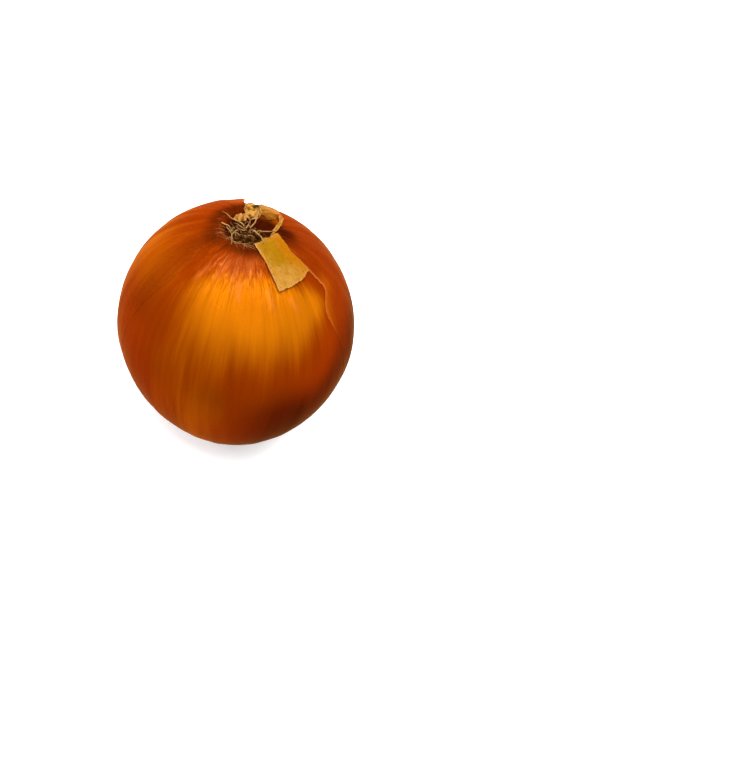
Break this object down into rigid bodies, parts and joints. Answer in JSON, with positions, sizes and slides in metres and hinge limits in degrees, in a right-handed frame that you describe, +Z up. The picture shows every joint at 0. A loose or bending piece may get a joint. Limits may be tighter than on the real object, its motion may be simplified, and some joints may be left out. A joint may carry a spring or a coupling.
{
  "type": "brown onion",
  "caption": "Whole dry brown globe onion resting tilted on a small flat spot, root end up, with loose papery outer skins, a torn skin flap, a dry root tuft and a curled neck stub.",
  "frame": {"origin": "middle of the flat spot on the shoulder that the onion rests on, on the surface under it", "axes": "+Z up, +X to the viewer's right and +Y away from the viewer; the onion's own axis leans 36 degrees from +Z towards +Y and a little towards +X, root end high at the back and neck low at the front"},
  "size_m": [0.0748, 0.0772, 0.0753],
  "materials": {
    "inner_skin": "thin dry onion skin, copper orange, satin, with fine streaks from root to neck",
    "outer_skin": "outermost dry papery skin, red-brown, satin, with torn edges",
    "straw_skin": "straw-coloured torn skin, matt",
    "dry_root": "dry fibrous roots, matt, tan to dark olive brown",
    "neck_skin": "dried leaf ends, matt, creased"
  },
  "bodies": {
    "root": {"bulb": "inner_skin", "outer_skin_left": "outer_skin", "outer_skin_right": "outer_skin", "skin_flap": "straw_skin", "root_tuft": "dry_root", "neck_leaf_long": "neck_skin", "neck_leaf_short": "neck_skin"}
  },
  "joints": []
}
